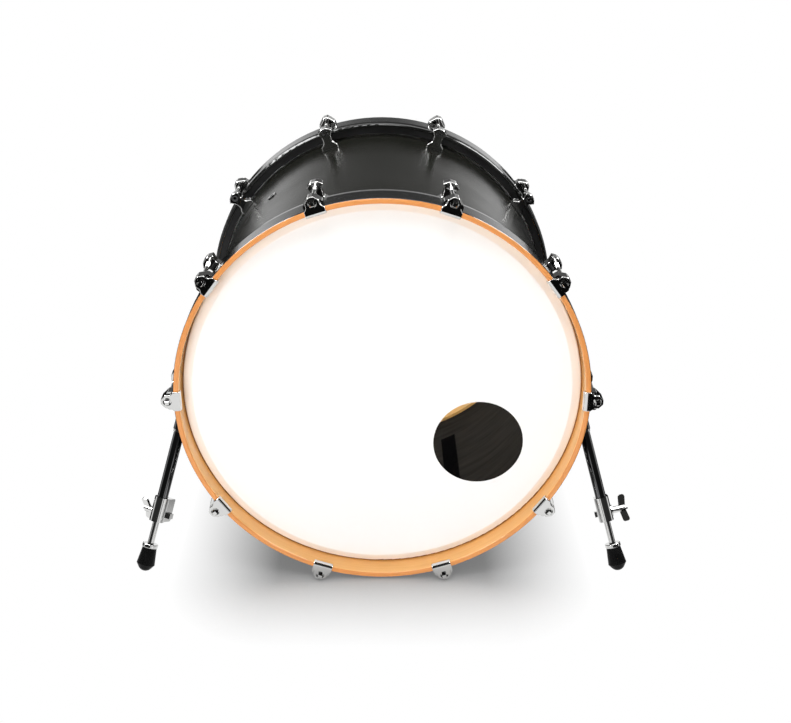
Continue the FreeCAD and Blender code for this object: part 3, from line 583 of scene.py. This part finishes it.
# %% [markdown]
# ## Threads
# The CAD rods are plain cylinders. On the real ones the last stretch before the lug is cut with a
# fine thread, and the tail of each clamp bolt shows one too. A true helix needs many faces. Rings one
# pitch apart look the same at this size, so a circle is extruded out and in again, once for each
# turn.

# %% Thread builder
thread_pitch = 1.0 * millimetre
thread_depth = 0.22 * millimetre
thread_lift = 0.02 * millimetre
thread_sides = 20


def make_object(name, shape, finish):
    """Turn a bmesh into an object of the scene, with one finish."""
    mesh = bpy.data.meshes.new(name)
    shape.to_mesh(mesh)
    shape.free()
    mesh.materials.append(finish)
    made = bpy.data.objects.new(name, mesh)
    bpy.context.scene.collection.objects.link(made)
    return made


def threaded_length(name, start, direction, length, radius, body):
    """A closed threaded sleeve on a bar, from a point along a direction."""
    shape = bmesh.new()
    root = radius + thread_lift
    crest = root + thread_depth
    bmesh.ops.create_circle(shape, cap_ends=True, segments=thread_sides, radius=root)
    edges = list(shape.edges)
    now = root
    for step in range(2 * round(length / thread_pitch)):
        following = crest if step % 2 == 0 else root
        grown = bmesh.ops.extrude_edge_only(shape, edges=edges)["geom"]
        ring = [item for item in grown if isinstance(item, bmesh.types.BMVert)]
        edges = [item for item in grown if isinstance(item, bmesh.types.BMEdge)]
        edges = [edge for edge in edges if all(vert in ring for vert in edge.verts)]
        share = following / now
        bmesh.ops.scale(shape, verts=ring, vec=(share, share, 1))
        bmesh.ops.translate(shape, verts=ring, vec=(0, 0, thread_pitch / 2))
        now = following
    bmesh.ops.edgeloop_fill(shape, edges=edges)
    bmesh.ops.recalc_face_normals(shape, faces=shape.faces)
    upright = direction.to_track_quat("Z", "Y").to_matrix().to_4x4()
    stand = Matrix.Translation(start) @ upright
    bmesh.ops.transform(shape, verts=shape.verts, matrix=stand)
    piece = make_object(name, shape, finishes["chrome_hardware"])
    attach(piece, body)
    return piece


print("thread pitch", thread_pitch, "depth", thread_depth)

# %% [markdown]
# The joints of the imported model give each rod's axis, so no rod has to be found by hand. The thread
# shows in front of the lug and runs on a little inside it.

# %% Threads on the tension rods and the clamp bolts
rod_radius = 3.0 * millimetre
rod_thread_shown = 20 * millimetre
rod_thread_inside = 3 * millimetre
rod_thread_length = rod_thread_shown + rod_thread_inside
bolt_tail_start = 22.4 * millimetre
bolt_tail_length = 3.0 * millimetre
threads = []
for joint in frame["joints"]:
    axis = Vector(joint["axis"])
    if joint["name"].endswith("_spin") and "_rod_" in joint["name"]:
        end = joint["name"].split("_")[0]
        lug_low, lug_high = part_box(end + "_lugs")
        lug_face = lug_low.y if end == "front" else lug_high.y
        start = Vector(joint["pos_m"])
        start.y = lug_face - axis.y * rod_thread_inside
        body = joint["child"]
        name = body + "_thread"
        threads.append(threaded_length(name, start, axis, rod_thread_length, rod_radius, body))
    if joint["name"].endswith("_wing_spin"):
        start = Vector(joint["pos_m"]) + axis * bolt_tail_start
        body = joint["parent"]
        name = body + "_bolt_thread"
        threads.append(threaded_length(name, start, axis, bolt_tail_length, rod_radius, body))
print("threads", len(threads), "faces each", len(threads[0].data.polygons))

# %% [markdown]
# ## Hook strip
# A strip of hook tape on the floor of the shell holds a damping pillow. It is soft, so the plain CAD
# strip is replaced. The tape is a line along the drum, spun through the strip's width so that it lies
# on the curve of the shell, and given its thickness.

# %% Tape
tape_thickness = 1.2 * millimetre
tape_steps = 10
strip_low, strip_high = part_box("hook_strip")
strip_angle = math.radians(154)
strip_width = 26.5 * millimetre
strip_seat = 7.6 * millimetre
strip_outer = shell_radius - strip_seat
drum_axis = Vector((0, 0, drum_middle.z))


def round_drum(radius, angle, along):
    """A point at a radius and an angle from the top, at a place along the drum."""
    height = drum_middle.z + math.cos(angle) * radius
    return Vector((math.sin(angle) * radius, along, height))


half_turn = strip_width / 2 / strip_outer
tape = bmesh.new()
first = tape.verts.new(round_drum(strip_outer, strip_angle - half_turn, strip_low.y))
second = tape.verts.new(round_drum(strip_outer, strip_angle - half_turn, strip_high.y))
line = tape.edges.new((first, second))
bmesh.ops.spin(
    tape, geom=[first, second, line], cent=drum_axis, axis=(0, 1, 0),
    angle=half_turn * 2, steps=tape_steps,
)
bmesh.ops.recalc_face_normals(tape, faces=tape.faces)
if tape.faces[0].normal.dot(tape.faces[0].calc_center_median() - drum_axis) > 0:
    bmesh.ops.reverse_faces(tape, faces=tape.faces)
bmesh.ops.solidify(tape, geom=tape.faces[:], thickness=-tape_thickness)
print("tape", len(tape.faces), "faces")

# %% [markdown]
# The hooks stand in rows and lean to and fro from column to column. There are about a thousand of
# them, so each is a cone of only four sides.

# %% Hooks
hook_height = 1.6 * millimetre
hook_base = 0.45 * millimetre
hook_step = 2.2 * millimetre
hook_margin = 2.0 * millimetre
hook_lean = math.radians(18)
hook_sides = 4
tape_top = strip_outer - tape_thickness
rows = int((strip_width - 2 * hook_margin) / hook_step)
columns = int((strip_high.y - strip_low.y - 2 * hook_margin) / hook_step)
for row in range(rows + 1):
    angle = strip_angle + ((row - rows / 2) * hook_step) / strip_outer
    for column in range(columns + 1):
        along = strip_low.y + hook_margin + column * hook_step
        lean = hook_lean if column % 2 else -hook_lean
        stand = Matrix.Translation(round_drum(tape_top - hook_height / 2, angle, along))
        stand = stand @ Matrix.Rotation(angle + math.pi, 4, "Y") @ Matrix.Rotation(lean, 4, "X")
        bmesh.ops.create_cone(
            tape, cap_ends=True, segments=hook_sides, radius1=hook_base, radius2=hook_base / 2,
            depth=hook_height, matrix=stand,
        )
bmesh.ops.recalc_face_normals(tape, faces=tape.faces)
hook_tape = make_object("hook_tape", tape, finishes["strip_black"])
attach(hook_tape, "drum")
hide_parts("hook_strip")
print("hooks", (rows + 1) * (columns + 1), "faces", len(hook_tape.data.polygons))

# %% [markdown]
# ## Floor and background
# The drum stands on a plain pale floor that runs into a white background. The floor is a matt white
# that lights the drum from below. Near the drum the camera sees a greyer matt floor, painted shade
# that deepens the real shadow; an ambient occlusion node paints more shade where the drum comes close,
# and a weak glow paints light back into the darkest shade. Further out it sees clean white.

# %% Floor finish
shadow_half_width = 0.16
shadow_front = 0.26
shadow_fade = 0.16
# Reach of the painted contact shade, and strength of the glow that paints light into the shadow.
painted_shade_reach = 0.3
painted_shadow_lift = 0.17
tone_scale = 3


def seen_directly(tree):
    """1 for the rays of camera, mirrors and glass, 0 for the rays that carry light."""
    ray = add(tree, "LightPath").outputs
    shown = math_node(tree, "MAXIMUM", ray["Is Camera Ray"], ray["Is Glossy Ray"])
    return math_node(tree, "MAXIMUM", shown, ray["Is Transmission Ray"])


def floor_finish():
    """Matt white for the light; for the eye the shadow, with painted shade and a painted glow, fading
    into white.
    """
    material, tree, shader, place = start_finish("white_floor")
    tree.nodes.remove(shader)
    spot = add(tree, "SeparateXYZ", {"Vector": place}).outputs
    beside = math_node(tree, "ABSOLUTE", spot["X"])
    beside = math_node(tree, "MAXIMUM", math_node(tree, "SUBTRACT", beside, shadow_half_width), 0)
    before = math_node(tree, "ABSOLUTE", spot["Y"])
    before = math_node(tree, "MAXIMUM", math_node(tree, "SUBTRACT", before, shadow_front), 0)
    gap = add(tree, "CombineXYZ", {0: beside, 1: before}).outputs[0]
    far = rescale(tree, length_of(tree, gap), 0.0, shadow_fade)
    tone = noise(tree, place, tone_scale, detail=2)
    white = blend_colours(tree, tone, grey(0.80), grey(0.84))
    # Painted shade: near the drum the floor is drawn greyer, and occlusion darkens it more where the
    # drum comes close.
    painted_shade_grey = blend_colours(tree, tone, grey(0.56), grey(0.60))
    closeness = {"Color": painted_shade_grey, "Distance": painted_shade_reach}
    painted_contact_shade = add(tree, "AmbientOcclusion", closeness).outputs["Color"]
    matt = add(tree, "BsdfDiffuse", {"Color": white}).outputs[0]
    shaded = add(tree, "BsdfDiffuse", {"Color": painted_contact_shade}).outputs[0]
    # Painted light: a weak glow lifts the shaded floor.
    glow = add(tree, "Emission", {"Strength": painted_shadow_lift}).outputs[0]
    shaded = add(tree, "AddShader", {0: shaded, 1: glow}).outputs[0]
    clean = add(tree, "Emission", {"Color": grey(1), "Strength": 1.0}).outputs[0]
    seen = add(tree, "MixShader", {"Fac": far, 1: shaded, 2: clean}).outputs[0]
    surface = add(tree, "MixShader", {"Fac": seen_directly(tree), 1: matt, 2: seen}).outputs[0]
    feed(tree, tree.nodes["Material Output"].inputs["Surface"], surface)
    return material


white_floor = floor_finish()
print("finish", white_floor.name, len(white_floor.node_tree.nodes), "nodes")

# %% [markdown]
# The floor is one large flat panel, a hair below the feet so that the two never share a plane.

# %% Floor
floor_size = 60
floor_drop = 0.5 * millimetre


def flat_panel(name, width, length, place, finish):
    """A level panel for the stage."""
    shape = bmesh.new()
    spread = Matrix.Translation(place) @ Matrix.Diagonal((width / 2, length / 2, 1, 1))
    bmesh.ops.create_grid(shape, x_segments=1, y_segments=1, size=1, matrix=spread)
    panel = make_object(name, shape, finish)
    return panel


flat_panel("floor", floor_size, floor_size, Vector((0, 0, -floor_drop)), white_floor)
print("floor", floor_size, "m square")

# %% [markdown]
# ## Light
# The light is plain and soft. Behind the drum the room is a white backdrop that ends a little above
# it, and behind the camera it is dark, so chrome and lacquer have something dark to mirror. The world
# gives that light, while to the camera it is plain white. Each side of the room is three bands: pairs
# of a height above the horizon and a grey.

# %% World
backdrop_bands = ((0.06, 1.0), (0.195, 0.42), (0.235, 0.10))
dark_room_bands = ((0.035, 1.0), (0.09, 0.04), (0.22, 0.03))
side_blend = 0.3


def height_bands(tree, height, bands):
    """Grey by height above the horizon."""
    ramp = add(tree, "ValToRGB", {"Fac": height})
    stops = ramp.color_ramp.elements
    stops.new(0.5)
    for stop, (place, brightness) in zip(stops, bands):
        stop.position = place
        stop.color = grey(brightness)
    return ramp.outputs["Color"]


def room_colour(tree, direction):
    """The room's brightness in a direction: backdrop behind the drum, dark room before it."""
    look = add(tree, "SeparateXYZ", {"Vector": direction}).outputs
    behind = height_bands(tree, look["Z"], backdrop_bands)
    before = height_bands(tree, look["Z"], dark_room_bands)
    backward = rescale(tree, look["Y"], -side_blend, side_blend)
    return blend_colours(tree, backward, before, behind)


world = bpy.data.worlds.new("studio")
bpy.context.scene.world = world
world.use_nodes = True
sky = world.node_tree
background = sky.nodes["Background"]
shown = seen_directly(sky)
room = room_colour(sky, add(sky, "TexCoord").outputs["Generated"])
feed(sky, background.inputs["Color"], blend_colours(sky, shown, room, grey(1)))
background.inputs["Strength"].default_value = 1.0
print("world", world.name, len(sky.nodes), "nodes")

# %% [markdown]
# The world is white to the eye, so mirrors would show only white. A large dome round the stage shows
# them the room instead. Camera and lamps pass through it.

# %% Dome
dome_radius = 20
dome_segments = 48
dome_rings = 24


def dome_finish():
    """The room, as mirrors see it."""
    material, tree, shader, place = start_finish("room_dome")
    tree.nodes.remove(shader)
    room = room_colour(tree, vector_node(tree, "NORMALIZE", place))
    glow = add(tree, "Emission", {"Color": room, "Strength": 1.0}).outputs[0]
    feed(tree, tree.nodes["Material Output"].inputs["Surface"], glow)
    return material


def only_mirrors_see(panel):
    """Hide a stage piece from all rays but reflections."""
    panel.visible_camera = False
    panel.visible_diffuse = False
    panel.visible_transmission = False
    panel.visible_shadow = False


dome_shape = bmesh.new()
bmesh.ops.create_uvsphere(
    dome_shape, u_segments=dome_segments, v_segments=dome_rings, radius=dome_radius
)
dome = make_object("room_dome", dome_shape, dome_finish())
only_mirrors_see(dome)
print("dome", dome_radius, "m")

# %% [markdown]
# One wide lamp hangs over the drum and a second one lights its front from above. Two more fill the
# front and the back without showing in mirrors, and a weak one inside the shell shows the depth
# behind the port. A panel high on each side draws the bright lines along the edges of the lacquer: it
# lights no matt face. Each row has a place, a target, a width, a length, a power in watts, and the
# setting that hides the lamp from one kind of ray.

# %% Lamps
glow_height = drum_middle.z + 0.16
lamps = {
    "overhead_lamp": ((0, 0.6, 2.2), (0, 0.6, 0), 2.2, 1.8, 42, None),
    "upper_front_lamp": ((-0.2, -1.2, 2.2), (0, -0.2, 0.1), 1.0, 0.8, 22, None),
    "front_lamp": ((-0.6, -3.2, 0.9), (0, 0, 0.3), 1.6, 1.2, 53, "visible_glossy"),
    "inside_lamp": ((0, 0, glow_height), (0, 0, 0), 0.3, 0.3, 1.6, "visible_camera"),
    "left_panel": ((-1.5, -0.1, 1.8), (0, -0.1, 0.9), 2.0, 0.9, 100, "visible_diffuse"),
    "right_panel": ((1.5, -0.1, 1.8), (0, -0.1, 0.9), 2.0, 0.9, 100, "visible_diffuse"),
    "rear_lamp": ((0.6, 3.0, 1.0), (0, 0, 0.3), 1.6, 1.2, 40, "visible_glossy"),
}


def soft_lamp(name, place, target, width, length, power, switched_off):
    """A wide lamp that looks at a point."""
    light = bpy.data.lights.new(name, "AREA")
    light.shape = "RECTANGLE"
    light.size = width
    light.size_y = length
    light.energy = power
    lamp = bpy.data.objects.new(name, light)
    bpy.context.scene.collection.objects.link(lamp)
    lamp.location = place
    look = Vector(target) - Vector(place)
    lamp.rotation_euler = look.to_track_quat("-Z", "Y").to_euler()
    if switched_off:
        setattr(lamp, switched_off, False)
    return lamp


for name, values in lamps.items():
    made_lamp = soft_lamp(name, *values)
    print("lamp", made_lamp.name, made_lamp.data.energy, "W")

# %% [markdown]
# Chrome shows what stands round it, and on an all white stage it would turn white and lose its shape.
# A photographer lays black cloth on the floor, out of the picture, for the chrome to mirror. Four
# flat cards do the same here, in front, behind and on both sides: only reflections see them. Each row
# has a width, a length, and a place across and along the stage.

# %% Black cards for the chrome
card_height = 2 * millimetre
cloth_scale = 400
cards = {
    "front_card": (8.0, 2.4, 0.0, -2.45),
    "rear_card": (8.0, 5.0, 0.0, 3.5),
    "left_card": (1.67, 1.15, -1.235, 0.425),
    "right_card": (1.67, 2.25, 1.235, -0.125),
}


def card_finish():
    """Black cloth without a shine."""
    material, tree, shader, place = start_finish("black_cloth")
    weave = noise(tree, place, cloth_scale, detail=2)
    colour = blend_colours(tree, weave, grey(0.002), grey(0.005))
    feed(tree, shader.inputs["Base Color"], colour)
    shader.inputs["Roughness"].default_value = 1.0
    shader.inputs["Specular IOR Level"].default_value = 0.0
    return material


cloth = card_finish()
for name, (card_width, card_length, across, along) in cards.items():
    place = Vector((across, along, card_height))
    card = flat_panel(name, card_width, card_length, place, cloth)
    only_mirrors_see(card)
    print("card", card.name)

# %% [markdown]
# ## Camera
# The camera was fitted to the photograph: the ellipses of both hoops and the places of the rods fix
# how far it stands, how much it looks down, and its focal length. The picture is 791 pixels wide, so
# a focal length in pixels becomes millimetres on Blender's 36 mm sensor.

# %% Camera
picture_width = 791
sensor_width = 36.0
focal_pixels = 1188.147
camera_place = Vector((-0.006838, -1.786164, 1.034484))
yaw = 0.01608
pitch = 0.41294
roll = 0.0078
forward = math.cos(pitch)
ahead = Vector((math.sin(yaw) * forward, math.cos(yaw) * forward, -math.sin(pitch)))
level = Vector((math.cos(yaw), -math.sin(yaw), 0))
above = level.cross(ahead)
rightward = level * math.cos(roll) + above * math.sin(roll)
upward = above * math.cos(roll) - level * math.sin(roll)
turned = Matrix((rightward, upward, -ahead)).transposed().to_4x4()
lens = bpy.data.cameras.new("camera")
lens.sensor_width = sensor_width
lens.lens = focal_pixels * sensor_width / picture_width
camera = bpy.data.objects.new("camera", lens)
bpy.context.scene.collection.objects.link(camera)
camera.matrix_world = Matrix.Translation(camera_place) @ turned
bpy.context.scene.camera = camera
bpy.context.scene.view_settings.view_transform = "Standard"
print("lens", round(lens.lens, 2), "mm")

# %% [markdown]
# Last, the scene is brought up to date once more.

# %% Update the scene
bpy.context.view_layer.update()
